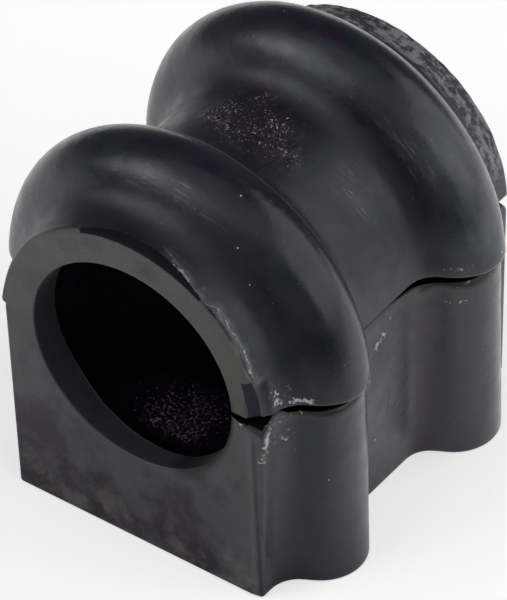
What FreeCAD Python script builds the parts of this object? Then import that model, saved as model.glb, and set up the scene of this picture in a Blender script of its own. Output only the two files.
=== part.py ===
"""Sway bar bushing: one rubber moulding with an arched top, two beads, a bore and a slit.

Millimetres, +Z up. The origin is the centre of the underside, +Y runs along the bore to the
rear face and +X points to the slit side.
"""
import FreeCAD, Part
import math
import os

# Whole body
length = 41.2
parting_height = 23.6
parting_step = 0.44
edge_chamfer = 0.35

# Outside radii of the arched half, about the axis at parting height
neck_radius = 15.6
bead_radius = 20.8
seat_radius = 15.55

# Section of one bead: a round crest, straight flanks and a fillet at the foot of each flank
bead_from_end = 9.3
bead_section_radius = 4.6
flank_angle = math.radians(63)
neck_fillet = 3.4
seat_fillet = 3.0

# Bore for the bar: a smooth land at each end, a slightly wider stretch between them
bore_height = 23.15
bore_radius = 12.0
bore_relief = 0.35
land_length = 3.4
bore_chamfer = 0.25

# Slit from the bore to the outside, hanging from the parting plane
slit_under_bead = 0.5
slit_in_seat = 0.25
slit_at_face = 1.35
slit_mouth_depth = 2.2

half_length = length / 2
bead_station = half_length - bead_from_end
cutter_overrun = 1.0


def bead_side(run_radius, crest_radius, fillet, side):
    """Half of a bead's section, from the run beside it up to its crest, as stations and radii.

    The run meets a concave fillet, the fillet a straight flank, and the flank the round crest.
    side is -1 towards the front face and 1 towards the strap seat.
    """
    sine = math.sin(flank_angle)
    cosine = math.cos(flank_angle)
    high_reach = bead_section_radius * sine
    high_radius = crest_radius - bead_section_radius * (1 - cosine)
    low_radius = run_radius + fillet * (1 - cosine)
    low_reach = high_reach + (high_radius - low_radius) / math.tan(flank_angle)
    end_reach = low_reach + fillet * sine
    middle_reach = end_reach - fillet * math.sin(flank_angle / 2)
    middle_radius = run_radius + fillet * (1 - math.cos(flank_angle / 2))
    rising = [
        (end_reach, run_radius),
        (middle_reach, middle_radius),
        (low_reach, low_radius),
        (high_reach, high_radius),
        (0, crest_radius),
    ]
    return [(side * reach - bead_station, radius) for reach, radius in rising]


def arc(first, middle, last):
    """Circular edge through three points."""
    return Part.Arc(first, middle, last).toShape()


def line(first, last):
    """Straight edge between two points."""
    return Part.LineSegment(first, last).toShape()


def side_profile(place, neck, bead, seat):
    """Edges of the outside from front face to rear face; place turns station and radius into a point."""
    neck_end, neck_middle, neck_low, neck_high, crest = bead_side(neck, bead, neck_fillet, -1)
    seat_end, seat_middle, seat_low, seat_high, crest = bead_side(seat, bead, seat_fillet, 1)
    face = (-half_length, neck - edge_chamfer)
    neck_start = (-half_length + edge_chamfer, neck)

    def end_half(flip):
        spans = [
            (face, neck_start),
            (neck_start, neck_end),
            (neck_end, neck_middle, neck_low),
            (neck_low, neck_high),
            (neck_high, crest, seat_high),
            (seat_high, seat_low),
            (seat_low, seat_middle, seat_end),
        ]
        points = [[place(flip * station, radius) for station, radius in span] for span in spans]
        return [arc(*span) if len(span) == 3 else line(*span) for span in points]

    seat_run = line(place(*seat_end), place(-seat_end[0], seat))
    return end_half(1) + [seat_run] + end_half(-1)[::-1]


def arched_half():
    """Upper half: the outside profile turned half a circle about the axis at parting height."""
    def place(station, radius):
        return FreeCAD.Vector(radius, station, parting_height)

    edges = side_profile(place, neck_radius, bead_radius, seat_radius)
    end_radius = neck_radius - edge_chamfer
    edges.append(line(place(half_length, end_radius), place(half_length, 0)))
    edges.append(line(place(half_length, 0), place(-half_length, 0)))
    edges.append(line(place(-half_length, 0), place(-half_length, end_radius)))
    face = Part.Face(Part.Wire(Part.__sortEdges__(edges)))
    axis_point = FreeCAD.Vector(0, 0, parting_height)
    return face.revolve(axis_point, FreeCAD.Vector(0, -1, 0), 180)


def straight_legs():
    """Lower half: the plan outline of both legs raised from the underside to the parting plane."""
    neck = neck_radius - parting_step
    bead = bead_radius - parting_step
    seat = seat_radius - parting_step
    end_radius = neck - edge_chamfer

    def right(station, radius):
        return FreeCAD.Vector(radius, station, 0)

    def left(station, radius):
        return FreeCAD.Vector(-radius, station, 0)

    edges = side_profile(right, neck, bead, seat)
    edges.append(line(right(half_length, end_radius), left(half_length, end_radius)))
    edges += side_profile(left, neck, bead, seat)[::-1]
    edges.append(line(left(-half_length, end_radius), right(-half_length, end_radius)))
    underside = Part.Face(Part.Wire(Part.__sortEdges__(edges)))
    return underside.extrude(FreeCAD.Vector(0, 0, parting_height))


def bore_cutter():
    """Space of the bar: lands, relief between them and rounded mouths, turned about the bore axis."""
    def place(station, radius):
        return FreeCAD.Vector(radius, station, bore_height)

    mouth = half_length - bore_chamfer
    land = half_length - land_length
    relief = land - bore_relief
    outside = half_length + cutter_overrun
    mouth_radius = bore_radius + bore_chamfer
    relief_radius = bore_radius + bore_relief
    half_outline = [
        (outside, 0),
        (outside, mouth_radius),
        (half_length, mouth_radius),
        (mouth, bore_radius),
        (land, bore_radius),
        (relief, relief_radius),
    ]
    front = [place(-station, radius) for station, radius in half_outline]
    rear = [place(station, radius) for station, radius in half_outline[::-1]]
    outline = Part.makePolygon(front + rear + front[:1])
    axis_point = FreeCAD.Vector(0, 0, bore_height)
    return Part.Face(outline).revolve(axis_point, FreeCAD.Vector(0, 1, 0), 360)


def slit_cutter():
    """Thin space from the bore out through the right wall, wider at the two end faces."""
    seat_end = -bead_side(seat_radius, bead_radius, seat_fillet, 1)[0][0]
    mouth_end = half_length - slit_mouth_depth
    outside = half_length + cutter_overrun
    half_outline = [
        (outside, slit_at_face),
        (half_length, slit_at_face),
        (mouth_end, slit_under_bead),
        (bead_station, slit_under_bead),
        (seat_end, slit_in_seat),
    ]
    lower_lip = [(-station, -gap) for station, gap in half_outline]
    lower_lip += [(station, -gap) for station, gap in half_outline[::-1]]
    outline = lower_lip + [(outside, 0), (-outside, 0)]
    points = [FreeCAD.Vector(0, station, parting_height + drop) for station, drop in outline]
    face = Part.Face(Part.makePolygon(points + points[:1]))
    return face.extrude(FreeCAD.Vector(bead_radius + cutter_overrun, 0, 0))


def bushing_body():
    """The whole moulding as one solid."""
    body = arched_half().fuse(straight_legs())
    body = body.cut([bore_cutter(), slit_cutter()]).removeSplitter()
    return body.Solids[0]


if __name__ == "__main__":
    os.makedirs("parts", exist_ok=True)
    shape = bushing_body()
    shape.exportStep("parts/bushing_body.step")
    box = shape.BoundBox
    print("valid", shape.isValid(), "solids", len(shape.Solids), "faces", len(shape.Faces))
    print("size %.2f x %.2f x %.2f mm, volume %.0f mm3" % (box.XLength, box.YLength, box.ZLength, shape.Volume))
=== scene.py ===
"""Looks of a sway bar bushing: one black rubber moulding on a pale studio floor.

The moulding is one closed surface. Its outside and its bore are worked out along the bore and round
the section, the two end faces and the two lips of the slit are ruled between them, and the marks
that moulding and use left in the rubber are moved into the surface or kept as attributes that the
material reads. Other attributes hold painted shade, painted highlights and painted glints. Metres,
+Z up, +Y along the bore to the rear face, +X to the slit.
"""
import math
from types import SimpleNamespace

import bpy
import numpy as np
from bpy.props import FloatProperty, FloatVectorProperty, PointerProperty
from mathutils import Matrix, Vector


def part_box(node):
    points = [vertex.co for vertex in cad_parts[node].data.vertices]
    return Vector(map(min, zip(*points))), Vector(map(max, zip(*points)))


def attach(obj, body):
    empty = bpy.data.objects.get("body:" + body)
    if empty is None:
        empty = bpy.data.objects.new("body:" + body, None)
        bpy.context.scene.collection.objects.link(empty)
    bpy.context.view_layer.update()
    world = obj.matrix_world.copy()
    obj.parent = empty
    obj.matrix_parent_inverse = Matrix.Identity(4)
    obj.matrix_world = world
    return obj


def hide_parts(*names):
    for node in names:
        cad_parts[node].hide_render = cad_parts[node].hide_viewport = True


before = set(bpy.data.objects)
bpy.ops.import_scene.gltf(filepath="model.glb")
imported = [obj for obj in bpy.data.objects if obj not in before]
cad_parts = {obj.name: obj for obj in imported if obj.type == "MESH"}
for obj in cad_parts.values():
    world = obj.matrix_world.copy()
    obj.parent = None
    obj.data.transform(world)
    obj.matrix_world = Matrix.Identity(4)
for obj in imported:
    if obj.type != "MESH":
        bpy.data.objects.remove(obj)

bl_info = {
    "name": "Sway Bar Bushing",
    "version": (1, 0, 0),
    "blender": (4, 5, 0),
    "location": "3D View > Sidebar > Bushing",
    "description": "Builds the dressed bushing and the studio round it",
    "category": "Object",
}

MM = 0.001
NODE = "bushing_body"
LOW_CORNER, HIGH_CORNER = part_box(NODE)
CAD_LENGTH = HIGH_CORNER.y - LOW_CORNER.y
CAD_BEAD_RADIUS = (HIGH_CORNER.x - LOW_CORNER.x) / 2
CAD_PARTING = HIGH_CORNER.z - CAD_BEAD_RADIUS

# Vertices round the section, along the outside, and across an end face; the right leg has those of
# the slit's lower lip besides
ARCH_POINTS = 150
STEP_POINTS = 3
LEG_POINTS = 44
LIP_POINTS = 8
CORNER_POINTS = 4
UNDERSIDE_POINTS = 38
ALONG_POINTS = 126
ACROSS_POINTS = 16
ROUND_POINTS = 5

# Where the bore's columns and the front face's columns start in the closed loop of columns
BORE_START = ALONG_POINTS + ACROSS_POINTS - 2
FRONT_START = BORE_START + ALONG_POINTS

# The middle of the object, which the softboxes face
CENTRE = Vector((0.0, 0.0, 20 * MM))

# A colour or a light of full white
WHITE = (1.0, 1.0, 1.0, 1.0)

# From the front face to the column that edges the painted shade on the neck
SHADE_EDGE = 1.28 * MM

# Stations along the slit in millimetres, and how open it is there as a share of the slit's gap
SLIT_STATIONS = (
    -20.6, -19.2, -18.7, -17.6, -16.6, -14.5, -12.0, -10.6, -9.6, -7.5, 0.5, 4.2, 6.5, 9.0, 12.0, 16.5, 20.6)
SLIT_SHARES = (
    0.8, 0.75, 0.05, 0.12, 0.95, 1.1, 0.8, 0.3, 0.4, 0.08, 0.08, 0.7, 1.0, 0.85, 0.45, 0.7, 0.9)


def linear(code):
    """Linear red, green, blue and alpha of an sRGB hex code."""
    shares = [int(code[i:i + 2], 16) / 255 for i in (1, 3, 5)]
    return tuple(s / 12.92 if s <= 0.04045 else ((s + 0.055) / 1.055) ** 2.4 for s in shares) + (1.0,)


def smooth_step(value, low, high):
    """0 below low, 1 above high, and an even S curve between them."""
    share = np.clip((value - low) / (high - low), 0.0, 1.0)
    return share * share * (3.0 - 2.0 * share)


def between(value, first, full, until, last):
    """0 below first, 1 from full until the third value, 0 above last, and S curves between them."""
    return smooth_step(value, first, full) * smooth_step(value, last, until)


def hump(value, centre, width):
    """1 at the centre and falling away on both sides as a bell of that width."""
    return np.exp(-((value - centre) / width) ** 2)


def noise(points, cell, seed):
    """Smooth noise from -1 to 1: random values on a cubic lattice of that cell, blended by S curves."""
    cells = 32
    table = np.random.default_rng(seed).random((cells, cells, cells)) * 2.0 - 1.0
    place = points / cell
    low = np.floor(place).astype(int)
    share = place - low
    share = share * share * (3.0 - 2.0 * share)
    total = np.zeros(points.shape[:-1])
    for dx in (0, 1):
        for dy in (0, 1):
            for dz in (0, 1):
                corner = (low + (dx, dy, dz)) % cells
                weight = np.where(dx, share[..., 0], 1.0 - share[..., 0])
                weight = weight * np.where(dy, share[..., 1], 1.0 - share[..., 1])
                weight = weight * np.where(dz, share[..., 2], 1.0 - share[..., 2])
                total += weight * table[corner[..., 0], corner[..., 1], corner[..., 2]]
    return total


def measure(name, description, default):
    """A length that a user may change."""
    return FloatProperty(name=name, description=description, default=default, unit="LENGTH")


def tilt(name, description, degrees):
    """An angle that a user may change, given here in degrees."""
    return FloatProperty(
        name=name, description=description, default=math.radians(degrees), subtype="ANGLE")


def amount(name, description, default, **limits):
    """A plain number that a user may change, within its limits."""
    return FloatProperty(name=name, description=description, default=default, **limits)


def tint(name, description, code):
    """A colour that a user may change, given here as an sRGB hex code."""
    return FloatVectorProperty(
        name=name, description=description, default=linear(code), size=4, subtype="COLOR", min=0, max=1)


class BUSHING_PG_form(bpy.types.PropertyGroup):
    """Sizes of the moulding."""
    length: measure("Length", "From the front face to the rear face", CAD_LENGTH)
    parting_height: measure("Parting height", "Height of the plane where arch and legs meet", CAD_PARTING)
    bead_radius: measure("Bead radius", "Crest of a bead, about the arch's axis", CAD_BEAD_RADIUS)
    neck_radius: measure("Neck radius", "Outside of the arch at the end faces", 15.6 * MM)
    seat_radius: measure("Seat radius", "Outside of the arch under the strap", 15.55 * MM)
    bead_from_end: measure("Bead from end", "From an end face to the crest of its bead", 9.3 * MM)
    section_radius: measure("Bead section radius", "Round of a bead's crest", 4.6 * MM)
    flank_angle: tilt("Flank angle", "Slope of a bead's sides", 63)
    neck_fillet: measure("Neck fillet", "Hollow between a bead and the neck", 3.4 * MM)
    seat_fillet: measure("Seat fillet", "Hollow between a bead and the seat", 3.0 * MM)
    softness: measure("Softness", "Length over which straight and round stretches run together", 1.1 * MM)
    edge_round: measure("Edge round", "Round of the end faces' edges", 0.32 * MM)
    mouth_round: measure("Mouth round", "Round where the bore meets the end faces", 0.16 * MM)
    parting_step: measure(
        "Parting step", "How far the legs stand in from the arch at bead and seat", 0.44 * MM)
    leg_draft: measure("Leg draft", "How much the neck's legs draw in down to the underside", 0.68 * MM)
    lip_flare: measure(
        "Lip flare", "How far the arch's lower edge stands out at the parting plane", 0.42 * MM)
    bore_radius: measure("Bore radius", "Land at each end of the bore", 12.0 * MM)
    bore_height: measure("Bore height", "Bore axis above the underside", 23.15 * MM)
    bore_relief: measure("Bore relief", "How much wider the bore is between its lands", 0.4 * MM)
    land_length: measure("Land length", "Smooth ring at each end of the bore", 3.4 * MM)
    slit_gap: measure("Slit gap", "Widest open height of the slit under the beads", 1.0 * MM)
    slit_gap_bore: measure(
        "Slit gap at the bore", "Height of the slit in an end face, at the bore", 0.6 * MM)
    slit_gap_corner: measure(
        "Slit gap at the corner", "Height of the slit in an end face, at the outside", 1.9 * MM)
    bevel_start: measure(
        "Bevel start", "Where the front face starts to fall back towards the slit side", 13.9 * MM)
    bevel_depth: measure(
        "Bevel depth", "How far the front face falls back at the slit's upper lip", 1.05 * MM)


class BUSHING_PG_finish(bpy.types.PropertyGroup):
    """Colours and gloss of the rubber."""
    rubber: tint("Rubber", "Moulded skin of carbon-filled rubber", "#180b24")
    cool: tint("Cool rubber", "The skin where its film looks blue green", "#08141f")
    haze: tint("Haze", "Thin cool film on the outside", "#272631")
    # A bluish film together with painted highlights of the softboxes on the rear bead.
    rear_haze_and_highlight: tint("Rear haze", "Bluish film on the rear bead", "#5f646c")
    bloom: tint("Bloom", "Pale olive film that wax and dust leave on the end faces", "#42403a")
    cool_bloom: tint("Cool bloom", "The film where it looks bluish grey", "#484650")
    # Also the pale strip on the front face and the painted highlight along the bore land's step.
    dirt_and_highlight: tint("Dirt", "Cream dirt near the lower edge of the end faces", "#65625b")
    # Also painted shade on the neck, the faces' edges and the rear leg, and a purple glow painted where
    # light falls in the bore.
    stain_shade_and_glow: tint("Stain", "Purplish black stains on the end faces", "#1c0c26")
    brown: tint("Brown", "Brownish rubber on the slit's lower lip", "#3a322d")
    # Painted light: the land is drawn paler than the rubber it is made of.
    land: tint("Land", "Smooth ring at each mouth of the bore", "#3b3842")
    # Also the black of painted shade in and round the slit.
    bore: tint("Bore", "Rough wall of the bore", "#040304")
    # Pale specks that stand for glints: painted glints in the rough patch and the bore.
    painted_glint: tint("Glint", "Pale grains of the rough places", "#67606e")
    scuff: tint("Scuff", "Rubbed and torn rubber", "#b4bcc4")
    # Also tints some painted glints pink.
    pink_scuff_and_glint: tint("Pink scuff", "Torn rubber where it looks pinkish", "#bba9b3")
    wrinkle: tint("Wrinkle", "Greyed rubber on the wrinkled neck", "#86868b")
    dust: tint("Dust", "Specks of dust", "#d8d6d2")
    roughness: amount("Roughness", "Roughness of the moulded skin", 0.27, min=0, max=1)
    ior: amount("IOR", "Refraction of rubber", 1.5, min=1, max=2)
    sheen: amount("Sheen", "Fine dust that lights up the rims", 0.15, min=0, max=1)


class BUSHING_PG_studio(bpy.types.PropertyGroup):
    """Floor, lights and camera."""
    floor_radius: measure("Floor radius", "Half the floor's side", 0.5)
    floor_lift: amount("Floor lift", "White added to the floor for the camera", 0.5, min=0, max=1)
    gloss_lift: amount(
        "Gloss lift", "White added in gloss to the floor clear of the object's shade", 0.65, min=0, max=1)
    room_level: amount("Room level", "Brightness of the room behind, where 1 is white", 0.11, min=0)
    front_level: amount("Front level", "Brightness of the room in front", 0.3, min=0)
    left_level: amount("Left softbox", "Brightness of the front left softbox", 0.8, min=0)
    centre_level: amount("Left softbox centre", "Extra brightness of its middle", 1.5, min=0)
    right_level: amount("Right softbox", "Brightness of the right softbox", 1.2, min=0)
    top_level: amount("Top softbox", "Brightness of the softbox overhead", 0.36, min=0)
    camera_azimuth: tilt("Camera azimuth", "Turn of the camera from the front towards the slit", 37.684)
    camera_elevation: tilt("Camera elevation", "Height of the camera as an angle", 41.801)
    camera_roll: tilt("Camera roll", "Turn of the picture", -1.864)
    camera_distance: measure("Camera distance", "From the aimed point to the camera", 790.8 * MM)
    aim_right: measure("Aim right", "How far right of the object's middle the camera aims", -0.482 * MM)
    aim_up: measure("Aim up", "How far above the object's middle the camera aims", -2.452 * MM)
    lens: amount("Lens", "Focal length on a 36 mm sensor", 480.27)


def outside_profile(form):
    """Stations and radii of the arch's outside from face to face, evenly spaced along the curve.

    The curve is drawn by its heading: the heading turns steadily through each hollow and crest and
    stays on each run and flank, a running mean softens the joins, and station and radius are the
    running sums of the heading's cosine and sine.
    """
    flank = form.flank_angle
    crest_foot = form.bead_radius - form.section_radius * (1 - math.cos(flank))
    crest_reach = form.section_radius * math.sin(flank)

    def side(run_radius, fillet):
        foot = run_radius + fillet * (1 - math.cos(flank))
        flank_length = (crest_foot - foot) / math.sin(flank)
        reach = crest_reach + flank_length * math.cos(flank) + fillet * math.sin(flank)
        return flank_length, reach

    neck_flank, neck_reach = side(form.neck_radius, form.neck_fillet)
    seat_flank, seat_reach = side(form.seat_radius, form.seat_fillet)
    half = [
        (form.bead_from_end - neck_reach, 0.0),
        (form.neck_fillet * flank, flank),
        (neck_flank, 0.0),
        (2 * form.section_radius * flank, -2 * flank),
        (seat_flank, 0.0),
        (form.seat_fillet * flank, flank),
        (form.length / 2 - form.bead_from_end - seat_reach, 0.0),
    ]
    runs = np.array(half + half[::-1])
    lengths = np.concatenate(([0.0], np.cumsum(runs[:, 0])))
    headings = np.concatenate(([0.0], np.cumsum(runs[:, 1])))
    fine = np.linspace(0.0, lengths[-1], 4001)
    heading = np.interp(fine, lengths, headings)
    step = fine[1] - fine[0]
    window = np.hanning(2 * int(form.softness / step) + 1)
    padded = np.pad(heading, len(window) // 2)
    heading = np.convolve(padded, window / window.sum(), mode="valid")
    station = np.concatenate(([0.0], np.cumsum(np.cos(heading[1:]) * step)))
    rise = np.concatenate(([0.0], np.cumsum(np.sin(heading[1:]) * step)))
    station = (station / station[-1] - 0.5) * form.length
    rise *= (form.bead_radius - form.neck_radius) / rise.max()
    return fine, station, form.neck_radius + rise


def along_columns(form):
    """Stations, radii and insets of the columns that cross the outside from front to rear.

    The first and last columns go round the faces' edges on quarter circles, whose inset is the
    radius less its sine. Between them the columns are even along the profile.
    """
    fine, station, radius = outside_profile(form)
    quarter = np.linspace(0.0, math.pi / 2, ROUND_POINTS + 1)[:-1]
    depth = form.edge_round * (1 - np.cos(quarter))
    inset = form.edge_round * (1 - np.sin(quarter))
    start = np.interp(form.edge_round - form.length / 2, station, fine)
    middle = np.linspace(start, fine[-1] - start, ALONG_POINTS - 2 * ROUND_POINTS)
    stations = np.concatenate((
        depth - form.length / 2, np.interp(middle, fine, station), form.length / 2 - depth[::-1]))
    insets = np.concatenate((inset, np.zeros(len(middle)), inset[::-1]))
    return stations, np.interp(stations, station, radius), insets


def bore_columns(form):
    """Stations and radii of the bore's columns from front to rear: mouth round, land, step, relief."""
    half = form.length / 2
    quarter = np.linspace(0.0, math.pi / 2, ROUND_POINTS + 1)
    mouth = form.mouth_round * (1 - np.cos(quarter))
    step = form.land_length + np.array([-0.12, 0.0, 0.06, 0.3]) * MM
    land = np.linspace(form.mouth_round, step[0], 9)[1:-1]
    ends = np.concatenate((mouth, land, step))
    inner = np.linspace(step[-1], form.length - step[-1], ALONG_POINTS - 2 * len(ends) + 2)[1:-1]
    depth = np.concatenate((ends, inner, form.length - ends[::-1]))
    near = np.minimum(depth, form.length - depth)
    corner = np.clip(form.mouth_round - near, 0.0, form.mouth_round)
    opening = form.mouth_round - np.sqrt(form.mouth_round ** 2 - corner ** 2)
    relief = form.bore_relief * smooth_step(near, form.land_length, form.land_length + 0.3 * MM)
    return depth - half, form.bore_radius + opening + relief


def leg_inset(form, radius, height):
    """How far a leg stands in from the arch: the parting step at bead and seat, a draft at the neck.

    The neck's share falls from 1 at the neck's radius to 0 halfway up to the bead's.
    """
    halfway = form.neck_radius + 0.45 * (form.bead_radius - form.neck_radius)
    share = smooth_step(radius, form.neck_radius, halfway)
    down = 1.0 - height / form.parting_height
    neck = -0.05 * MM + form.leg_draft * down
    bead = form.parting_step + 0.09 * MM * down
    return neck * (1.0 - share) + bead * share


def slit_gaps(form, stations, at_face):
    """Open height of the slit at each station, as shares of its widest height under a bead.

    Torn rubber bridges it behind the front face. It is widest in the hollows of the beads, narrows
    at their crests and is a hairline in the seat. At each face the lower lip is cut off by a short
    slope, down to the height that is given for the face.
    """
    shares = np.interp(stations / MM, SLIT_STATIONS, SLIT_SHARES)
    slope = smooth_step(form.length / 2 - np.abs(stations), 0.6 * MM, 0.0)
    return form.slit_gap * shares * (1.0 - slope) + at_face * slope


def spaced(count, low, high, crowd_low, crowd_high):
    """Even steps from low to high, drawn closer at each end by the share that crowd gives."""
    share = np.linspace(0.0, 1.0, count)
    eased = share - crowd_low * np.sin(math.pi * share) * (1 - share) ** 2
    eased = eased + crowd_high * np.sin(math.pi * share) * share ** 2
    return low + (high - low) * eased


def flare_share(angle):
    """Share of the flare at an angle above the parting plane: it falls away from 2 degrees up."""
    return np.exp(-np.maximum(angle - 2.0, 0.0) / 9.0)


def arch_rows(form, stations, radii, insets):
    """The arch from the slit's upper lip over the top to the left parting step.

    A point stands at the arch's radius from its axis. Near the parting plane the radius flares
    outward and then turns in again on the lip's round, whose inset follows a quarter circle.
    """
    angle = spaced(ARCH_POINTS, 0.0, math.pi, 0.22, 0.22)[:, None]
    lift = radii * np.sin(angle)
    flare = form.lip_flare * flare_share(np.degrees(np.minimum(angle, math.pi - angle)))
    bead_share = smooth_step(radii, form.neck_radius, form.bead_radius)
    slit_side = 0.25 + 0.75 * smooth_step(radii, 19.6 * MM, 20.6 * MM)
    flare = flare * (1.0 - 0.45 * bead_share) * np.where(angle < math.pi / 2, slit_side, 1.0)
    lip = 0.28 * MM
    under = np.clip(lip - lift, 0.0, lip)
    turn_in = lip - np.sqrt(lip ** 2 - under ** 2)
    radius = radii - insets + flare - turn_in
    x = radius * np.cos(angle)
    z = form.parting_height + radius * np.sin(angle)
    return np.stack((x, np.broadcast_to(stations, x.shape), z), axis=-1)


def leg_rows(form, stations, radii, insets, side, top, count, tall):
    """One leg from its top edge down to the corner above the underside, drawn in by leg_inset.

    The top edge is a quarter of an ellipse, as tall as given and half as deep.
    """
    corner = 0.3 * MM
    share = spaced(count, 0.0, 1.0, 0.29, 0.0)[:, None]
    height = top * (1.0 - share) + (insets + corner) * share
    over = np.clip(1.0 - (top - height) / tall, 0.0, 1.0)
    turn_in = 0.5 * tall * (1.0 - np.sqrt(1.0 - over ** 2))
    width = radii - insets - leg_inset(form, radii, height) - turn_in
    return np.stack((side * width, np.broadcast_to(stations, width.shape), height), axis=-1)


def corner_rows(foot, inner_height, side, count):
    """Quarter round from a leg's foot to the underside: sines and cosines of equal steps."""
    turn = np.linspace(0.0, math.pi / 2, count + 2)[1:-1][:, None]
    radius = foot[:, 2] - inner_height
    x = foot[:, 0] - side * radius * (1 - np.cos(turn))
    z = foot[:, 2] - radius * np.sin(turn)
    return np.stack((x, np.broadcast_to(foot[:, 1], x.shape), z), axis=-1)


def outside_rows(form):
    """The whole outside as rows from the upper lip, over the arch and down to the lower lip."""
    stations, radii, insets = along_columns(form)
    gaps = slit_gaps(form, stations, form.slit_gap_corner)
    arch = arch_rows(form, stations, radii, insets)
    ledge = form.parting_height - 0.12 * MM
    left_leg = leg_rows(form, stations, radii, insets, -1, ledge, LEG_POINTS, 0.3 * MM)
    share = np.linspace(0.0, 1.0, STEP_POINTS + 2)[1:-1][:, None, None]
    step = arch[-1] * (1 - share) + left_leg[0] * share
    tall = (0.4 + 0.6 * smooth_step(radii, form.seat_radius, form.bead_radius)) * MM
    lower_lip = form.parting_height - gaps
    right_leg = leg_rows(form, stations, radii, insets, 1, lower_lip, LEG_POINTS + LIP_POINTS, tall)[::-1]
    left_corner = corner_rows(left_leg[-1], insets, -1, CORNER_POINTS)
    right_corner = corner_rows(right_leg[0], insets, 1, CORNER_POINTS)[::-1]
    share = np.linspace(0.0, 1.0, UNDERSIDE_POINTS)[:, None]
    left_end = left_leg[-1, :, 0] + (left_leg[-1, :, 2] - insets)
    right_end = right_leg[0, :, 0] - (right_leg[0, :, 2] - insets)
    x = left_end * (1 - share) + right_end * share
    floor = np.stack(np.broadcast_arrays(x, stations, insets), axis=-1)
    return np.concatenate((arch, step, left_leg, left_corner, floor, right_corner, right_leg))


def bore_rows(form, outside):
    """The bore's wall, row for row with the outside and column for column from front to rear.

    The neck outline's angle about the bore axis gives each row its share of the way round, and the
    share runs from the upper lip's height to the lower lip's on the wall's circle.
    """
    stations, radii = bore_columns(form)
    outline = outside[:, ROUND_POINTS]
    angle = np.unwrap(np.arctan2(outline[:, 2] - form.bore_height, outline[:, 0]))
    share = ((angle - angle[0]) / (angle[-1] - angle[0]))[:, None]
    first = np.arcsin((form.parting_height - form.bore_height) / radii)
    drop = form.bore_height - form.parting_height + slit_gaps(form, stations, form.slit_gap_bore)
    last = 2 * math.pi - np.arcsin(drop / radii)
    turn = first * (1 - share) + last * share
    x = radii * np.cos(turn)
    z = form.bore_height + radii * np.sin(turn)
    return np.stack((x, np.broadcast_to(stations, x.shape), z), axis=-1)


def ruled(first, last, shares):
    """Straight lines from each point of first to its partner in last, cut at the shares."""
    shares = shares[:, None]
    return first[..., None, :] * (1 - shares) + last[..., None, :] * shares


def across_shares():
    """Shares of the way from the outside to the bore, closer together near the outside."""
    return np.linspace(0.0, 1.0, ACROSS_POINTS) ** 1.5


def body_grid(form):
    """Rows round the section by columns along a closed loop: outside, rear face, bore, front face."""
    outside = outside_rows(form)
    bore = bore_rows(form, outside)
    shares = across_shares()[1:-1]
    rear = ruled(outside[:, -1], bore[:, -1], shares)
    front = ruled(outside[:, 0], bore[:, 0], shares)[:, ::-1]
    return np.concatenate((outside, rear, bore[:, ::-1], front), axis=1)


def quads(index):
    """Faces of a grid of vertex numbers, as rows of four corners."""
    corners = (index[:-1, :-1], index[:-1, 1:], index[1:, 1:], index[1:, :-1])
    return np.stack(corners, axis=-1).reshape(-1, 4)


def lip_index(loop, first_new):
    """Vertex numbers of one lip's grid: its edge is the loop's own, its inside is new."""
    inside = (ALONG_POINTS - 2, ACROSS_POINTS - 2)
    index = np.empty((ALONG_POINTS, ACROSS_POINTS), int)
    index[:, 0] = loop[:ALONG_POINTS]
    index[:, -1] = loop[BORE_START:FRONT_START][::-1]
    index[-1, 1:-1] = loop[ALONG_POINTS:BORE_START]
    index[0, 1:-1] = loop[FRONT_START:][::-1]
    index[1:-1, 1:-1] = first_new + np.arange(math.prod(inside)).reshape(inside)
    return index


def lip_points(loop):
    """Points inside a lip, ruled between its outer and its inner edge on the loop."""
    outer = loop[:ALONG_POINTS]
    inner = loop[BORE_START:FRONT_START][::-1]
    return ruled(outer, inner, across_shares())[1:-1, 1:-1].reshape(-1, 3)


def body_mesh(form):
    """Points and faces of the closed moulding: the grid, joined round its loop, and two lips."""
    grid = body_grid(form)
    rows, columns = grid.shape[:2]
    index = np.arange(rows * columns).reshape(rows, columns)
    upper = lip_index(index[0], rows * columns)
    upper_points = lip_points(grid[0])
    lower = lip_index(index[-1], rows * columns + len(upper_points))
    lower_points = lip_points(grid[-1])
    points = np.concatenate((grid.reshape(-1, 3), upper_points, lower_points))
    around = np.concatenate((index, index[:, :1]), axis=1)
    faces = np.concatenate((quads(around), quads(upper), quads(lower)[:, ::-1]))
    wall = np.zeros(len(points))
    wall[index[:, BORE_START:FRONT_START].ravel()] = 1.0
    lips = np.zeros(len(points))
    lips[rows * columns:] = 1.0
    return points, faces, wall, lips


def zones(form, points, wall, lips):
    """Measures that place the marks, each as one value for every point.

    angle and radius are about the arch's axis, turn is about the bore's, and drop goes down from the
    parting plane. front, rear and near are distances from the end faces. wall and lips mark the bore
    and the slit's inside, outside is all but the bore, skin is outside and clear of the end faces, and
    upper is the arch down to its lower edge.
    """
    x, y, z = points.T
    up = z - form.parting_height
    angle = np.degrees(np.arctan2(up, x))
    radius = np.where(up > 0, np.hypot(x, up), np.abs(x))
    turn = np.degrees(np.arctan2(z - form.bore_height, x))
    front = y + form.length / 2
    rear = form.length / 2 - y
    lips = lips * ((up > -1.0 * MM) | (front > 0.9 * MM))
    return SimpleNamespace(
        x=x, y=y, z=z, angle=angle, radius=radius, turn=turn, drop=form.parting_height - z,
        front=front, rear=rear, near=np.minimum(front, rear), wall=wall, lips=lips,
        outside=1.0 - wall, skin=(1.0 - wall) * (radius > 15.1 * MM), upper=up > -0.05 * MM)


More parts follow.
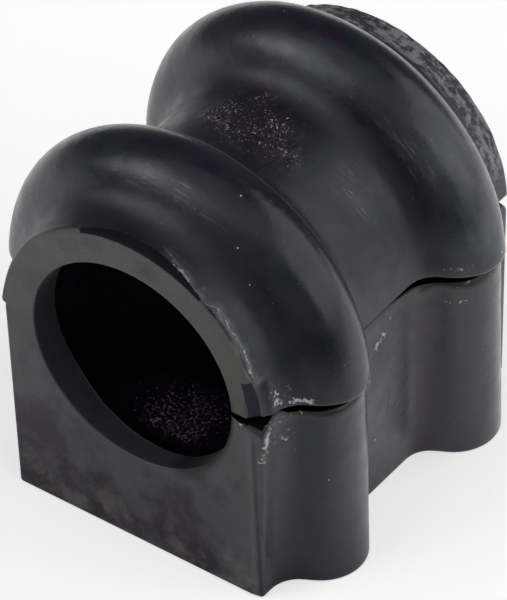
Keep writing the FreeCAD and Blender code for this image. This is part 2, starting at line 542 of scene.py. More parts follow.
def saddle_patch(zone, points):
    """Mask of the rough patch on top of the seat: an oval in arch angle and station with a torn edge."""
    turn = (zone.angle - 92.0) / 27.0
    shift = (zone.y - (0.6 * MM + 0.06 * MM * (zone.angle - 92.0))) / (4.3 * MM)
    edge = 0.3 * noise(points, 1.7 * MM, 5) + 0.2 * noise(points, 0.8 * MM, 6)
    oval = smooth_step(1.0 - turn ** 2 - shift ** 2 + edge, 0.0, 0.7)
    return oval * (zone.z > 30 * MM) * zone.outside


def rear_neck(zone):
    """Mask of the wrinkled neck behind the rear bead; it fades towards the slit and the left leg."""
    over = between(zone.angle, 3.0, 20.0, 160.0, 176.0)
    over = over * smooth_step(zone.radius, 14.7 * MM, 15.2 * MM)
    return smooth_step(zone.rear, 3.0 * MM, 2.3 * MM) * over * zone.outside


def bore_grain(form, zone):
    """Mask of the rough wall between the bore's lands."""
    return zone.wall * smooth_step(zone.near, form.land_length, form.land_length + 0.4 * MM)


def land_ends(form, zone):
    """How far the front land's rear end moves along the bore: the land narrows low on the slit side."""
    full = form.land_length + 0.06 * MM
    move = np.interp(zone.turn, (-140.0, -100.0, -60.0, 0.0), (0.0, -0.7, -1.3, 0.0)) * MM
    share = np.interp(zone.front, np.array([0.3 * MM, full, 8.0 * MM]), (0.0, 1.0, 0.0))
    return share * move * zone.wall * (zone.turn < 0.0)


def land_fade(zone):
    """Share of the land's grey, which is painted light: it goes dark where the ring turns up towards the
    slit.
    """
    return smooth_step(np.abs(zone.turn + 30.0), 28.0, 44.0)


def bore_glint_light(zone):
    """Mask of painted glints and painted light low in the bore behind the front land, with a few on its
    left.
    """
    low = hump(zone.turn, -90.0, 27.0) * between(zone.front, 4.3 * MM, 5.6 * MM, 9.0 * MM, 16.0 * MM)
    left = hump(np.abs(zone.turn), 178.0, 16.0) * hump(zone.y, -14.0 * MM, 3.0 * MM)
    return np.clip(1.25 * low + 0.62 * left, 0.0, 1.0)


def crescent_reach(zone):
    """How far the painted shade behind the front face's edge reaches along the bore."""
    angles = (54, 60, 68, 78, 96, 104, 112)
    return np.interp(zone.angle, angles, (0.02, 0.3, 0.75, 1.1, 1.1, 0.7, 0.02)) * MM


def shaded_crescent(zone):
    """Mask of that painted shade over the top of the neck, up to the third column behind the edge's round.
    """
    band = (zone.front < SHADE_EDGE) * (zone.angle > 54.0) * (zone.angle < 112.0)
    return band * zone.skin


def drawn_columns(zone):
    """How far the neck's columns move along the bore so that one of them edges the painted shade."""
    placed = np.array([0.0, SHADE_EDGE, 2.2 * MM])
    share = np.interp(zone.front, placed, (0.0, 1.0, 0.0))
    over_top = between(zone.angle, 48.0, 54.0, 114.0, 120.0)
    move = share * over_top * (crescent_reach(zone) - SHADE_EDGE)
    return move * zone.skin


def front_bevel(form, zone):
    """How far the front face falls back beside the slit, in metres.

    Above the slit the fall begins at one distance from the middle and ends bluntly at 19 degrees.
    Below it the fall is slight and runs down the whole leg. It fades out along the bore.
    """
    above = smooth_step(zone.angle, 19.5, 17.0)
    start = form.bevel_start - np.where(zone.upper, 0.0, 0.2 * MM)
    share = np.clip((zone.x - start) / (1.15 * MM), 0.0, 1.0)
    fall = np.where(zone.upper, form.bevel_depth * above, 0.2 * MM)
    fade = np.clip(1.0 - zone.front / (2.7 * MM), 0.0, 1.0)
    return share * fall * fade * zone.outside


def cut_corner(zone):
    """Mask of the dark facet above the slit where the front face falls back, between mesh lines."""
    radius = zone.radius - 0.1 * MM * flare_share(zone.angle)
    facet = (zone.front < 0.02 * MM) * (radius > 13.95 * MM) * (radius < 15.17 * MM)
    return facet * zone.upper * (zone.angle < 18.3)


def torn_corner(zone):
    """How far the neck beside the upper lip is rounded in behind the bevel, in metres."""
    beside = smooth_step(zone.angle, 20.0, 15.0) * (zone.angle > -0.1)
    beside = beside * smooth_step(zone.x, 13.2 * MM, 15.4 * MM)
    return 0.42 * MM * beside * smooth_step(zone.front, 1.5 * MM, 0.2 * MM) * zone.outside


def pale_strip_and_step_highlight(form, zone):
    """Mask of the paler strip on the front face below the slit, and of a painted highlight along the land's
    step.
    """
    strip = hump(zone.x, form.bevel_start + 0.3 * MM - 0.01 * zone.z, 0.25 * MM)
    strip = strip * smooth_step(zone.front, 0.6 * MM, 0.2 * MM)
    strip = strip * smooth_step(zone.drop, 0.8 * MM, 2.5 * MM)
    line = hump(zone.front, form.land_length - 0.06 * MM, 0.1 * MM) * hump(zone.turn, -105.0, 20.0)
    return strip + line * zone.wall


def shaped(form, points, zone):
    """The points with the marks of moulding and use moved into the surface.

    Slow waves, grain and wrinkles move a point along its own outward direction by noise of that
    size. The corner of the front face beside the slit falls back along the bore.
    """
    outward = np.stack((points[:, 0], np.zeros(len(points)), points[:, 2] - form.parting_height), axis=1)
    low = points[:, 2] < form.parting_height
    outward[low, 2] = 0.0
    outward /= np.linalg.norm(outward, axis=1)[:, None] + 1e-12
    clear = zone.outside * smooth_step(zone.radius, 14.6 * MM, 15.0 * MM)
    clear *= smooth_step(zone.near, 0.0, 1.0 * MM)
    clear *= smooth_step(zone.z, 0.2 * MM, 2.0 * MM)
    waves = 0.055 * MM * noise(points, 6.5 * MM, 1) + 0.02 * MM * noise(points, 2.3 * MM, 2)
    patch = saddle_patch(zone, points)
    wrinkles = rear_neck(zone)
    grain = 0.07 * MM * noise(points, 0.9 * MM, 3)
    moved = points + outward * (clear * waves + patch * grain + wrinkles * 1.3 * grain)[:, None]
    wall = bore_grain(form, zone)
    moved = moved + outward * (wall * 1.2 * grain)[:, None]
    moved = moved - outward * torn_corner(zone)[:, None]
    moved[:, 1] += front_bevel(form, zone) + drawn_columns(zone) + land_ends(form, zone)
    return moved


def rear_haze_and_highlight(zone):
    """Mask of the bluish film and painted highlights on the rear bead: a patch on its top and its side
    towards the slit.
    """
    side = between(zone.angle, 3.0, 14.0, 40.0, 60.0)
    side = side * smooth_step(zone.radius, 18.6 * MM, 20.6 * MM)
    top = 0.8 * hump(zone.angle, 88.0, 15.0) * hump(zone.y, 7.8 * MM, 1.3 * MM)
    return (side + top) * (zone.y > 0.0)


def hollows(form, zone):
    """Mask of the hollows at the feet of the beads, where more film stays."""
    from_crest = np.abs(np.abs(zone.y) - (form.length / 2 - form.bead_from_end))
    last = form.bead_radius - 1.6 * MM
    on_arch = between(zone.radius, 15.2 * MM, 15.5 * MM, last - 1.6 * MM, last)
    return smooth_step(from_crest, 4.3 * MM, 5.2 * MM) * on_arch


def wrapped(form, points, zone):
    """Places on the unrolled skin: length round the section, station, and distance from the middle.

    Round the arch the length is the angle times the neck's radius, and down a leg it grows by the
    height below the parting plane.
    """
    below = np.clip(form.parting_height - points[:, 2], 0.0, None)
    angle = np.radians(np.clip(zone.angle, 0.0, 180.0))
    angle = np.where(points[:, 2] < form.parting_height, np.where(points[:, 0] > 0, 0.0, math.pi), angle)
    length = angle * form.neck_radius + np.where(points[:, 0] > 0, -below, below)
    return np.stack((length, points[:, 1], zone.radius), axis=1)


def add_mask(mesh, name, values):
    """A float attribute on the vertices."""
    layer = mesh.attributes.new(name, "FLOAT", "POINT")
    layer.data.foreach_set("value", np.ascontiguousarray(values, dtype=np.float32))


def add_places(mesh, name, values):
    """A vector attribute on the vertices."""
    layer = mesh.attributes.new(name, "FLOAT_VECTOR", "POINT")
    layer.data.foreach_set("vector", np.ascontiguousarray(values, dtype=np.float32).ravel())


def beside_crease(zone):
    """Signed distance along the bore from the rubbed line, which nears the face from top to slit."""
    centre = np.interp(zone.angle, (20, 34, 50, 60, 69, 84), (0.3, 0.55, 0.85, 1.0, 1.3, 2.4))
    return np.where(zone.skin > 0.0, zone.front - centre * MM, 5.0 * MM)


def crease_share(zone):
    """How strong the rubbed line is along its length."""
    return between(zone.angle, 15.0, 22.0, 62.0, 82.0)


def saddle_scratches(zone):
    """Mask of light scratches on the seat between patch and slit, and on the rear bead's flank."""
    seat = hump(zone.angle, 46.0, 10.0) * hump(zone.y, 2.0 * MM, 1.6 * MM)
    flank = 0.8 * hump(zone.angle, 44.0, 13.0) * hump(zone.y, 7.7 * MM, 0.6 * MM)
    bead = 0.9 * hump(zone.angle, 88.0, 16.0) * hump(zone.y, -14.7 * MM, 0.8 * MM)
    return (seat + flank + bead) * (zone.radius > 15.2 * MM)


def torn_lips(zone):
    """Mask of torn rubber along the slit: above it, on the rounded lower lip and round the corner."""
    station = zone.y
    drop = zone.drop
    above = 1.35 * hump(station, -18.0 * MM, 1.5 * MM) * hump(zone.angle, 7.0, 5.5)
    edge = smooth_step(zone.angle, 4.2, 2.6)
    above += edge * 1.05 * hump(station, -16.1 * MM, 0.9 * MM)
    above += 2.0 * hump(zone.angle, 3.6, 1.0) * hump(station, 7.6 * MM, 1.3 * MM)
    lip = hump(drop, 1.1 * MM, 0.5 * MM)
    lip = lip * (0.6 * hump(station, -17.2 * MM, 2.0 * MM) + 0.5 * hump(station, 9.0 * MM, 2.6 * MM))
    from_face = 0.85 * MM - 0.2 * (drop - 1.8 * MM)
    corner = 2.4 * hump(drop, 3.5 * MM, 2.1 * MM) * hump(zone.front, from_face, 0.6 * MM)
    corner = corner * smooth_step(zone.x, 14.6 * MM, 15.1 * MM)
    corner += 0.8 * hump(drop, 3.4 * MM, 1.7 * MM) * hump(station, -17.5 * MM, 1.3 * MM)
    diagonal = drop + 0.55 * station - 2.8 * MM
    groove = 1.6 * hump(diagonal, 0.0, 0.8 * MM) * hump(station, -0.6 * MM, 1.8 * MM)
    line = 1.5 * hump(drop, 3.3 * MM, 0.25 * MM) * hump(station, 7.7 * MM, 1.6 * MM)
    speck = 2.0 * hump(zone.x, 13.2 * MM, 0.22 * MM) * hump(drop, 1.2 * MM, 0.2 * MM)
    speck = speck * smooth_step(zone.front, 1.2 * MM, 0.8 * MM) * zone.outside
    beside = (zone.x > 14.3 * MM) * np.where(drop > 0.02 * MM, lip + corner + groove + line, above)
    return beside + speck


def shade_and_smudge(zone):
    """Mask of painted shade in the slit, at its front mouth and right end, round its rear half, and two dark
    marks on the front bead.
    """
    drop = zone.drop
    curl = hump(zone.y, -10.7 * MM + 0.25 * MM * zone.angle, 0.22 * MM)
    curl = curl * smooth_step(zone.angle, 8.0, 5.0) * (zone.angle > 0.0)
    below = hump(zone.y, 5.8 * MM, 0.6 * MM) + 0.75 * hump(zone.y, 9.0 * MM, 1.3 * MM)
    below = below * hump(drop, 1.4 * MM, 0.4 * MM)
    above = 0.5 * hump(zone.angle, 7.0, 4.0) * hump(zone.y, 6.2 * MM, 0.8 * MM)
    crest = 0.7 * hump(zone.angle, 123.0, 4.5) * hump(zone.y, -14.4 * MM, 0.7 * MM)
    mouth = smooth_step(drop, 1.35 * MM, 1.05 * MM) * (drop > 0.02 * MM) * (zone.x > 13.3 * MM)
    mouth = mouth * smooth_step(zone.front, 1.0 * MM, 0.6 * MM)
    marks = (curl + below + above + crest) * zone.skin
    return np.clip(marks + mouth + zone.lips, 0.0, 1.0) * zone.outside


def brown_lip(zone):
    """Mask of the brownish rounded top of the lower lip and of the slit's slope at the front face."""
    lip = between(zone.drop, 0.9 * MM, 1.15 * MM, 1.6 * MM, 2.3 * MM)
    return lip * (zone.x > 13.0 * MM) * (zone.y < 14.0 * MM) * zone.outside


def painted_shade(zone):
    """Mask of painted shade: a line down the front face, on the neck and its edge, and on the rear leg."""
    seam = hump(zone.x, 14.85 * MM - 0.02 * zone.z, 0.2 * MM)
    seam = seam * smooth_step(zone.front, 0.6 * MM, 0.2 * MM)
    seam = seam * smooth_step(zone.drop, 2.0 * MM, 4.0 * MM)
    shade = 0.5 * smooth_step(zone.front, 3.0 * MM, 1.2 * MM) * hump(zone.angle, 82.0, 22.0)
    edge = smooth_step(zone.front, 0.45 * MM, 0.3 * MM)
    shade += 0.85 * edge * between(zone.angle, 32.0, 54.0, 112.0, 134.0)
    rear_leg = smooth_step(zone.angle, -6.0, -16.0) * (zone.x > 0.0)
    shade += 0.95 * hump(zone.y, 6.1 * MM, 1.1 * MM) * rear_leg
    return seam + shade * zone.skin


def add_node(tree, kind, inputs=(), **settings):
    """A node with its settings; its open inputs, in order or by name, are set to values or linked.

    A node that is given as an input stands for its first open output.
    """
    node = tree.nodes.new("ShaderNode" + kind)
    for name, value in settings.items():
        setattr(node, name, value)
    if isinstance(inputs, dict):
        sockets = [node.inputs[name] for name in inputs]
        inputs = inputs.values()
    else:
        sockets = [socket for socket in node.inputs if socket.enabled]
    for socket, value in zip(sockets, inputs):
        if isinstance(value, bpy.types.Node):
            value = next(output for output in value.outputs if output.enabled)
        if isinstance(value, bpy.types.NodeSocket):
            tree.links.new(value, socket)
        else:
            socket.default_value = value
    return node


def new_material(name):
    """An empty material with nodes, and its tree."""
    material = bpy.data.materials.new(name)
    material.use_nodes = True
    material.node_tree.nodes.clear()
    return material, material.node_tree


class Patterns:
    """Patterns on one material's tree, from Object coordinates, the unrolled skin and the mesh's masks."""

    def __init__(self, tree, masks=()):
        self.tree = tree
        self.place = add_node(tree, "TexCoord").outputs["Object"]
        self.mask = {
            name: add_node(tree, "Attribute", attribute_name=name).outputs["Fac"] for name in masks}

    def noise(self, size, detail, roughness):
        """Fractal noise; size is how far its lumps are apart in millimetres, or a streak's length and width.

        Streaks lie round the section: the unrolled places are divided by length and width beforehand.
        """
        if isinstance(size, tuple):
            length, width = size
            wrap = add_node(self.tree, "Attribute", attribute_name="wrap").outputs["Vector"]
            scale = (1.0 / (length * MM), 1.0 / (width * MM), 1.0 / (width * MM))
            place = add_node(self.tree, "VectorMath", (wrap, scale), operation="MULTIPLY")
            return add_node(self.tree, "TexNoise", (place, 1.0, detail, roughness))
        return add_node(self.tree, "TexNoise", (self.place, 1.0 / (size * MM), detail, roughness))

    def total(self, *terms, start=0.0):
        """The start plus the sum of the terms, each the product of its two factors."""
        for first, second in terms:
            start = add_node(self.tree, "Math", (first, second, start), operation="MULTIPLY_ADD")
        return start

    def patches(self, size, detail, roughness, low, high, least=0.0, most=1.0, drift=()):
        """A share that rises from least to most while noise plus its drift rises from low to high."""
        level = self.total(*drift, start=self.noise(size, detail, roughness))
        return add_node(self.tree, "MapRange", (level, low, high, least, most))

    def layered(self, colour, *layers):
        """A colour under layers, each a share and the colour that covers what is below it by that share."""
        for share, cover in layers:
            colour = add_node(self.tree, "Mix", (share, colour, cover), data_type="RGBA")
        return colour

    def specks(self, cell, size, rarity):
        """Round specks in some cells of that spacing: size is a share of a cell, rarity skips cells."""
        cells = add_node(self.tree, "TexVoronoi", (self.place, 1.0 / cell)).outputs
        colour = add_node(self.tree, "SeparateColor", (cells["Color"],))
        chosen = add_node(self.tree, "MapRange", (colour, rarity, rarity + 0.02))
        dot = add_node(self.tree, "MapRange", (cells["Distance"], size, 0.6 * size))
        return self.total((dot, chosen))


def skin_colour(make, finish):
    """Smooth rubber under its film: purple and cool patches, a haze, and blotches on the end faces.

    On the end faces the olive bloom grows and the purple stains thin out upward, which is painted light
    high up and painted shade low down, where the faces are grey; the stains also thin out towards the
    slit side, and cream dirt lies at the lower edge. Over all this lie the rear bead's film with painted
    highlights, the land's painted grey, the brown lip, painted shade, and a pale strip with the bore
    step's painted highlight.
    """
    parts = add_node(make.tree, "SeparateXYZ", (make.place,)).outputs
    # The first slope grows the olive bloom upward and the second thins the stains upward: painted light high
    # on the end faces, painted shade low down
    slopes = (
        ("Z", 4.0, 34.0, -0.15, 0.25),
        ("Z", 3.0, 30.0, 0.06, -0.12),
        ("X", 3.0, 13.0, 0.01, -0.13),
        ("Z", 2.0, 9.0, 0.65, 0.0),
    )
    lighter_up, darker_low, cleaner_right, low = [
        add_node(make.tree, "MapRange", (parts[axis], first * MM, last * MM, at_first, at_last))
        for axis, first, last, at_first, at_last in slopes]
    warm = make.patches(5.0, 3.0, 0.55, 0.42, 0.66, drift=[(lighter_up, 1.0)])
    cool = make.patches(1.5, 3.0, 0.6, 0.42, 0.58)
    stains = make.patches(3.9, 5.0, 0.55, 0.43, 0.62, drift=[(darker_low, 1.0), (cleaner_right, 1.0)])
    cream = make.patches(2.5, 5.0, 0.6, 0.47, 0.64)
    film = make.layered(
        finish.cool_bloom,
        (warm, finish.bloom),
        (0.22, make.layered(finish.rubber, (cool, finish.cool))),
        (stains, finish.stain_shade_and_glow),
        (make.total((cream, low)), finish.dirt_and_highlight),
    )
    mask = make.mask
    # Streaks of the rear bead's film and painted highlights
    streaks = make.patches((3.0, 1.2), 3.0, 0.5, 0.3, 0.7, 0.15, 0.5)
    return make.layered(
        finish.rubber,
        (make.patches(2.4, 4.0, 0.65, 0.41, 0.59), finish.cool),
        (make.patches(3.6, 4.0, 0.6, 0.42, 0.66, 0.0, 0.45), finish.haze),
        (make.total((mask["hazy_and_highlit"], streaks)), finish.rear_haze_and_highlight),
        (mask["face"], film),
        # Painted light: the land's paler grey
        (mask["land"], finish.land),
        (mask["brown"], finish.brown),
        # Painted shade in the stain's purple black
        (mask["shade"], finish.stain_shade_and_glow),
        # Painted shade in the bore's black, in and round the slit
        (mask["shade_and_smudge"], finish.bore),
        # The pale strip and the step's painted highlight
        (mask["strip"], finish.dirt_and_highlight),
    )


def rubbed_line(make):
    """The rubbed line beside the front face: a soft grey band round a crisp wavering core."""
    wave = make.noise(1.3, 3.0, 0.6)
    beside = make.total((make.mask["crease"], 1.0), (wave, 1.5 * MM), start=-0.75 * MM)
    beside = add_node(make.tree, "Math", (beside,), operation="ABSOLUTE")
    core, band = [
        add_node(make.tree, "MapRange", (beside, near * MM, far * MM, 1.0, 0.0))
        for near, far in ((0.03, 0.15), (0.1, 0.8))]
    core = make.total((core, make.patches(0.6, 2.0, 0.55, 0.4, 0.6)))
    band = make.total((band, make.patches((1.2, 0.3), 3.0, 0.5, 0.35, 0.7, 0.06, 0.33)))
    line = add_node(make.tree, "Math", (core, band), operation="MAXIMUM")
    return make.total((line, make.mask["creased"]))


def marked_colour(make, finish, colour, worn):
    """The skin's colour with the wrinkled neck, the rough patch and its painted glints, the rubbed places
    and the dust on it.
    """
    mask = make.mask
    ridges = make.total(
        (make.noise((1.3, 0.5), 3.0, 0.5), 0.6),
        (make.noise(0.5, 3.0, 0.6), 0.4),
        (make.noise(3.5, 2.0, 0.55), 0.25),
        start=-0.125,
    )
    ridges = add_node(make.tree, "MapRange", (ridges, 0.45, 0.57, 0.1, 1.0))
    # Painted glints in the rough patch
    glints = make.patches(0.24, 2.0, 0.6, 0.85, 0.9, drift=[(make.noise(2.0, 2.0, 0.55), 0.5)])
    return make.layered(
        colour,
        (make.total((mask["wrinkle"], ridges)), finish.wrinkle),
        (make.total((mask["grain"], 0.9)), make.layered(finish.bore, (0.5, finish.stain_shade_and_glow))),
        (make.total((mask["grain"], glints)),
         make.layered(finish.painted_glint, (make.patches(0.8, 1.0, 0.55, 0.42, 0.6), finish.pink_scuff_and_glint))),
        (worn, make.layered(finish.scuff, (make.patches(0.9, 2.0, 0.55, 0.45, 0.6), finish.pink_scuff_and_glint))),
        (make.specks(1.9 * MM, 0.055, 0.88), finish.dust),
    )


def rubber_material(finish):
    """Vulcanised rubber with carbon black: a dark satin skin that mirrors the room at a low angle."""
    material, tree = new_material("moulded_black_rubber")
    make = Patterns(tree, (
        "grain", "wrinkle", "strip", "land", "shade_and_smudge", "hollow", "hazy_and_highlit", "crease", "creased", "rubbed",
        "shade", "brown", "torn", "face"))
    mask = make.mask
    scratches = make.patches((1.9, 0.3), 3.0, 0.5, 0.56, 0.66, 0.07, 0.37)
    flecks = make.patches((0.4, 0.45), 3.0, 0.5, 0.74, 0.86, drift=[(mask["torn"], 0.32)])
    worn = make.total((mask["rubbed"], scratches), (flecks, 1.0), start=rubbed_line(make))
    colour = marked_colour(make, finish, skin_colour(make, finish), worn)
    gloss = make.patches(2.2, 4.0, 0.55, 0.3, 0.7, finish.roughness - 0.06, finish.roughness + 0.08)
    rough = make.total(
        (worn, 0.25), (mask["wrinkle"], 0.12), (mask["hollow"], 0.14), (mask["shade_and_smudge"], 0.35), start=gloss)
    relief = make.total(
        (make.noise(0.22, 3.0, 0.55), 0.012),
        (make.noise(1.9, 3.0, 0.55), 0.05),
        (make.noise(0.55, 4.0, 0.65), make.total((mask["grain"], 0.18), (mask["wrinkle"], 0.32))),
        (worn, 0.06),
    )
    shader = add_node(tree, "BsdfPrincipled", {
        "Base Color": colour,
        "Roughness": rough,
        "IOR": finish.ior,
        "Sheen Weight": finish.sheen,
        "Sheen Roughness": 0.3,
        "Normal": add_node(tree, "Bump", {"Distance": MM, "Height": relief}),
    })
    add_node(tree, "OutputMaterial", {"Surface": shader})
    return material


def bore_material(finish):
    """The rubber left matt black, in the bore and as painted shade, with painted glints and glow where light
    falls.
    """
    material, tree = new_material("matt_black_rubber")
    make = Patterns(tree, ("glint_light", "crescent_facet_grey"))
    mask = make.mask
    grains = make.patches((0.2, 0.32), 3.0, 0.5, 0.76, 0.9, drift=[(mask["glint_light"], 0.24)])
    colour = make.layered(
        finish.bore,
        # A purple glow painted where light falls low in the bore
        (make.total((mask["glint_light"], 0.5)), finish.stain_shade_and_glow),
        # The land's grey over the crescent of painted shade and over the facet
        (mask["crescent_facet_grey"], finish.land),
        (grains, finish.painted_glint),
    )
    grit = make.noise(0.6, 4.0, 0.7)
    shader = add_node(tree, "BsdfPrincipled", {
        "Base Color": colour,
        "Roughness": 0.55,
        "IOR": 1.12,
        "Normal": add_node(tree, "Bump", {"Distance": 0.3 * MM, "Height": grit}),
    })
    add_node(tree, "OutputMaterial", {"Surface": shader})
    return material


def background_rays(tree):
    """1 for rays that gloss or glass sends on, and 1 for rays from the camera."""
    path = add_node(tree, "LightPath").outputs
    rays = (path["Is Glossy Ray"], path["Is Transmission Ray"])
    return add_node(tree, "Math", rays, operation="MAXIMUM"), path["Is Camera Ray"]


def floor_material(studio):
    """Matt white board: it renders white to the camera, keeps the soft shadow, and dims in gloss.

    In gloss the board is dim at the foot of the object except on the lit right, and on the camera's
    side, away from both softboxes, it falls off into shade.
    """
    material, tree = new_material("white_studio_board")
    make = Patterns(tree)
    sent, direct = background_rays(tree)

    def reach(azimuth, first, last, most):
        towards = tuple(direction(math.radians(azimuth), 0.0))
        along = add_node(tree, "VectorMath", (make.place, towards), operation="DOT_PRODUCT")
        return add_node(tree, "MapRange", (along, first, last, 0.0, most))

    away = add_node(tree, "VectorMath", (make.place,), operation="LENGTH")
    lit = reach(120.0, 0.0, 0.025, 1.15)
    unlit = add_node(tree, "MapRange", (lit, 0.0, 1.0, 1.0, 0.0))
    foot = make.total((add_node(tree, "MapRange", (away, 0.024, 0.041, 0.42, 0.0)), unlit))
    dim = add_node(tree, "Math", (reach(32.0, 0.028, 0.09, 1.0), foot), operation="MAXIMUM")
    shade = make.total((dim, sent))
    board = add_node(tree, "BsdfDiffuse", (make.layered(linear("#e8e8e8"), (shade, linear("#747474"))),))
    near = add_node(tree, "MapRange", (away, 0.024, 0.06, 0.1, 0.9))
    near = add_node(tree, "Math", (near, lit), operation="MAXIMUM")
    clear = add_node(tree, "MapRange", (shade, 0.0, 1.0, studio.gloss_lift, 0.0))
    lift = make.total((make.total((sent, near)), clear), (direct, studio.floor_lift))
    glow = add_node(tree, "Emission", (WHITE, lift))
    add_node(tree, "OutputMaterial", {"Surface": add_node(tree, "AddShader", (board, glow))})
    return material


def new_object(name, points, faces):
    """A mesh object at the origin from points and faces."""
    mesh = bpy.data.meshes.new(name)
    mesh.from_pydata(points.tolist(), [], faces.tolist())
    mesh.update()
    made = bpy.data.objects.new(name, mesh)
    bpy.context.scene.collection.objects.link(made)
    return made


def skin_masks(form, zone, points):
    """The masks that the materials read; those of a colour hold how strongly it covers."""
    smooth_land = zone.wall - bore_grain(form, zone)
    breakup = 0.7 + 0.5 * noise(points, 1.3 * MM, 11)
    return {
        "grain": saddle_patch(zone, points),
        "wrinkle": rear_neck(zone),
        "strip": 0.45 * pale_strip_and_step_highlight(form, zone),
        "land": 0.85 * smooth_land * land_fade(zone),
        "shade_and_smudge": shade_and_smudge(zone) + smooth_land * (1.0 - land_fade(zone)),
        "hollow": hollows(form, zone),
        "hazy_and_highlit": rear_haze_and_highlight(zone),
        "crease": beside_crease(zone),
        "creased": crease_share(zone),
        "rubbed": saddle_scratches(zone) * breakup,
        "shade": painted_shade(zone),
        "brown": 0.5 * brown_lip(zone),
        "torn": torn_lips(zone) * breakup,
        "face": 0.94 * smooth_step(zone.near, 0.4 * MM, 0.1 * MM),
        "glint_light": bore_glint_light(zone),
        "crescent_facet_grey": 0.25 * shaded_crescent(zone) + 0.9 * cut_corner(zone),
    }


def matt_faces(form, zone, faces):
    """Which faces are matt black: the bore's rough wall, the painted shade on the neck, the facet and the
    slit's lips as painted shade.
    """
    rough = bore_grain(form, zone) + shaded_crescent(zone) + cut_corner(zone) + 1.2 * zone.lips
    return rough[faces].mean(axis=1) > 0.5


class BUSHING_OT_moulding(bpy.types.Operator):
    """Builds the rubber moulding and puts it in the place of its CAD node"""
    bl_idname = "bushing.moulding"
    bl_label = "Rubber Moulding"

    def execute(self, context):
        form = context.scene.bushing_form
        points, faces, wall, lips = body_mesh(form)
        zone = zones(form, points, wall, lips)
        made = new_object("rubber_moulding", shaped(form, points, zone), faces)
        mesh = made.data
        for name, values in skin_masks(form, zone, points).items():
            add_mask(mesh, name, values)
        add_places(mesh, "wrap", wrapped(form, points, zone))
        mesh.shade_smooth()
        for material in (rubber_material, bore_material):
            mesh.materials.append(material(context.scene.bushing_finish))
        matt = matt_faces(form, zone, faces)
        mesh.polygons.foreach_set("material_index", matt.astype(np.int32))
        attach(made, "root")
        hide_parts(NODE)
        return {"FINISHED"}


def direction(azimuth, elevation):
    """Unit vector from the object: azimuth 0 is the front and turns towards the slit."""
    level = math.cos(elevation)
    return Vector((math.sin(azimuth) * level, -math.cos(azimuth) * level, math.sin(elevation)))


def softbox(name, azimuth, elevation, distance, width, height, level):
    """Rectangular lamp aimed at the object; its power is level times pi times its area."""
    lamp = bpy.data.lights.new(name, "AREA")
    lamp.shape = "RECTANGLE"
    lamp.size = width
    lamp.size_y = height
    lamp.energy = level * math.pi * width * height
    made = bpy.data.objects.new(name, lamp)
    towards = direction(math.radians(azimuth), math.radians(elevation))
    made.location = CENTRE + towards * distance
    made.rotation_mode = "QUATERNION"
    made.rotation_quaternion = towards.to_track_quat("Z", "Y")
    made.visible_camera = False
    bpy.context.scene.collection.objects.link(made)


def studio_room(studio):
    """Grey room that lights the object, brighter in front than behind, with white for the camera."""
    world = bpy.data.worlds.new("studio_room")
    world.use_nodes = True
    tree = world.node_tree
    tree.nodes.clear()
    way = add_node(tree, "TexCoord").outputs["Generated"]
    front = add_node(tree, "SeparateXYZ", (way,)).outputs["Y"]
    level = add_node(tree, "MapRange", (front, 0.4, -0.8, studio.room_level, studio.front_level))
    direct = background_rays(tree)[1]
    room = add_node(tree, "Background", (WHITE, level))
    white = add_node(tree, "Background", (WHITE, 1.0))
    add_node(tree, "OutputWorld", {"Surface": add_node(tree, "MixShader", (direct, room, white))})
    bpy.context.scene.world = world


def aim_camera(studio):
    """Camera on a long lens: its back axis points from the aimed point, rolled about itself."""
    data = bpy.data.cameras.new("camera")
    data.sensor_width = 36.0
    data.lens = studio.lens
    data.clip_start = 0.05
    data.clip_end = 20.0
    camera = bpy.data.objects.new("camera", data)
    back = direction(studio.camera_azimuth, studio.camera_elevation)
    right = Vector((math.cos(studio.camera_azimuth), math.sin(studio.camera_azimuth), 0.0))
    up = back.cross(right)
    cosine = math.cos(studio.camera_roll)
    sine = math.sin(studio.camera_roll)
    rolled_right = right * cosine + up * sine
    rolled_up = up * cosine - right * sine
    aimed = CENTRE + rolled_right * studio.aim_right + rolled_up * studio.aim_up
    axes = Matrix((rolled_right, rolled_up, back)).transposed().to_4x4()
    camera.matrix_world = Matrix.Translation(aimed + back * studio.camera_distance) @ axes
    bpy.context.scene.collection.objects.link(camera)
    bpy.context.scene.camera = camera


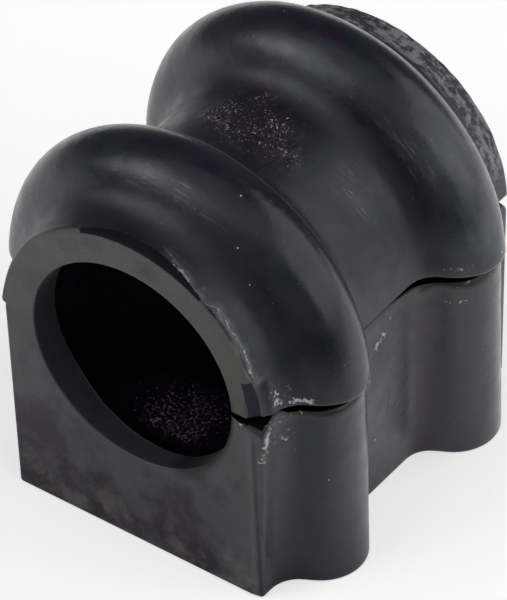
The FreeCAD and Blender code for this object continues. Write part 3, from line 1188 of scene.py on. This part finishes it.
class BUSHING_OT_studio(bpy.types.Operator):
    """Sets the floor, the softboxes, the room and the camera"""
    bl_idname = "bushing.studio"
    bl_label = "Studio"

    def execute(self, context):
        studio = context.scene.bushing_studio
        square = np.array([(-1.0, -1.0, 0.0), (1.0, -1.0, 0.0), (1.0, 1.0, 0.0), (-1.0, 1.0, 0.0)])
        floor = new_object("floor", studio.floor_radius * square, np.array([(0, 1, 2, 3)]))
        floor.data.materials.append(floor_material(studio))
        softbox("softbox_left", -38, 36, 0.6, 0.55, 0.5, studio.left_level)
        softbox("softbox_left_centre", -45, 32, 0.58, 0.24, 0.22, studio.centre_level)
        softbox("softbox_right", 118, 30, 0.6, 1.02, 0.64, studio.right_level)
        softbox("softbox_top", 20, 74, 0.9, 1.0, 1.0, studio.top_level)
        studio_room(studio)
        aim_camera(studio)
        context.scene.view_settings.view_transform = "Standard"
        return {"FINISHED"}


class BUSHING_PT_sidebar(bpy.types.Panel):
    """Buttons for each step and the values they use"""
    bl_label = "Sway Bar Bushing"
    bl_idname = "BUSHING_PT_sidebar"
    bl_space_type = "VIEW_3D"
    bl_region_type = "UI"
    bl_category = "Bushing"

    def draw(self, context):
        layout = self.layout
        steps = (
            ("bushing_form", BUSHING_OT_moulding),
            ("bushing_finish", None),
            ("bushing_studio", BUSHING_OT_studio),
        )
        for name, operator in steps:
            values = getattr(context.scene, name)
            box = layout.box()
            for field in values.__annotations__:
                box.prop(values, field)
            if operator:
                box.operator(operator.bl_idname)


CLASSES = (
    BUSHING_PG_form,
    BUSHING_PG_finish,
    BUSHING_PG_studio,
    BUSHING_OT_moulding,
    BUSHING_OT_studio,
    BUSHING_PT_sidebar,
)


def register():
    """Registers the classes and hangs the values on the scene."""
    for item in CLASSES:
        bpy.utils.register_class(item)
    bpy.types.Scene.bushing_form = PointerProperty(type=BUSHING_PG_form)
    bpy.types.Scene.bushing_finish = PointerProperty(type=BUSHING_PG_finish)
    bpy.types.Scene.bushing_studio = PointerProperty(type=BUSHING_PG_studio)


def unregister():
    """Takes the values and the classes away again."""
    del bpy.types.Scene.bushing_studio
    del bpy.types.Scene.bushing_finish
    del bpy.types.Scene.bushing_form
    for item in reversed(CLASSES):
        bpy.utils.unregister_class(item)


def corners(bounds):
    """Two corner vectors as plain lists."""
    return [list(corner) for corner in bounds]


def main():
    """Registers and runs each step."""
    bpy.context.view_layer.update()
    register()
    bpy.ops.bushing.moulding()
    bpy.ops.bushing.studio()


if __name__ == "__main__":
    main()
